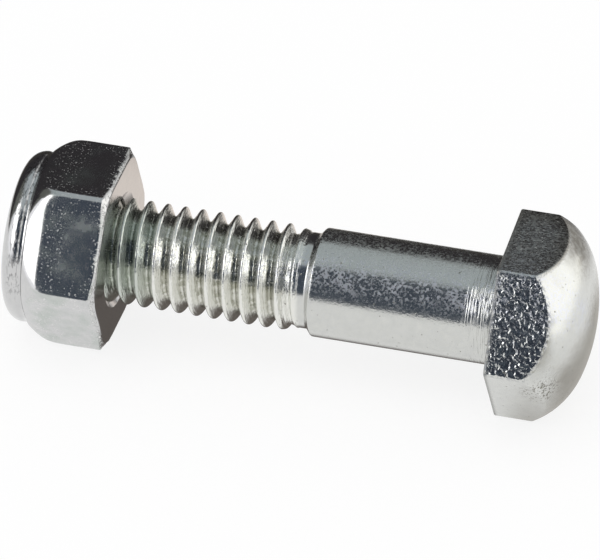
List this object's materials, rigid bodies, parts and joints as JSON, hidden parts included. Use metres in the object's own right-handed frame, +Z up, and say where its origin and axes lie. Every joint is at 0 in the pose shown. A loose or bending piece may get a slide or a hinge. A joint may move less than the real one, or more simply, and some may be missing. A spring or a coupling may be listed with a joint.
{
  "type": "pivot bolt",
  "caption": "Pivot bolt: domed hexagon head, plain shoulder, short neck and right-hand metric thread, with a nylon-insert lock nut run onto the thread.",
  "frame": {"origin": "centre of the face under the head, on the bolt's axis", "axes": "+X along the bolt's axis towards the top of the head, +Z up from the head's flat that the bolt lies on, +Y across"},
  "size_m": [0.0328, 0.0116, 0.0104],
  "materials": {
    "zinc_plated_bolt": "bright zinc plating, clear passivated, spangled on the head's flats",
    "zinc_plated_nut": "bright zinc plating, clear passivated, polished on the collar",
    "nylon": "natural nylon, satin"
  },
  "bodies": {
    "bolt": {"bolt": "zinc_plated_bolt"},
    "insert": {"nylon_insert": "nylon"},
    "nut": {"lock_nut": "zinc_plated_nut"}
  },
  "joints": [
    {"name": "nut_travel", "type": "slide", "parent": "bolt", "child": "insert", "axis": [1, 0, 0], "range_m": [-0.004, 0.009], "deforming": ["nylon_insert"]},
    {"name": "nut_turn", "type": "hinge", "parent": "insert", "child": "nut", "pos_m": [-0.025, 0, 0], "axis": [1, 0, 0], "range_deg": [-1440, 3240]}
  ],
  "couplings": [
    {"joint": "nut_turn", "follows": "nut_travel", "rad_per_m": 6283.2}
  ]
}
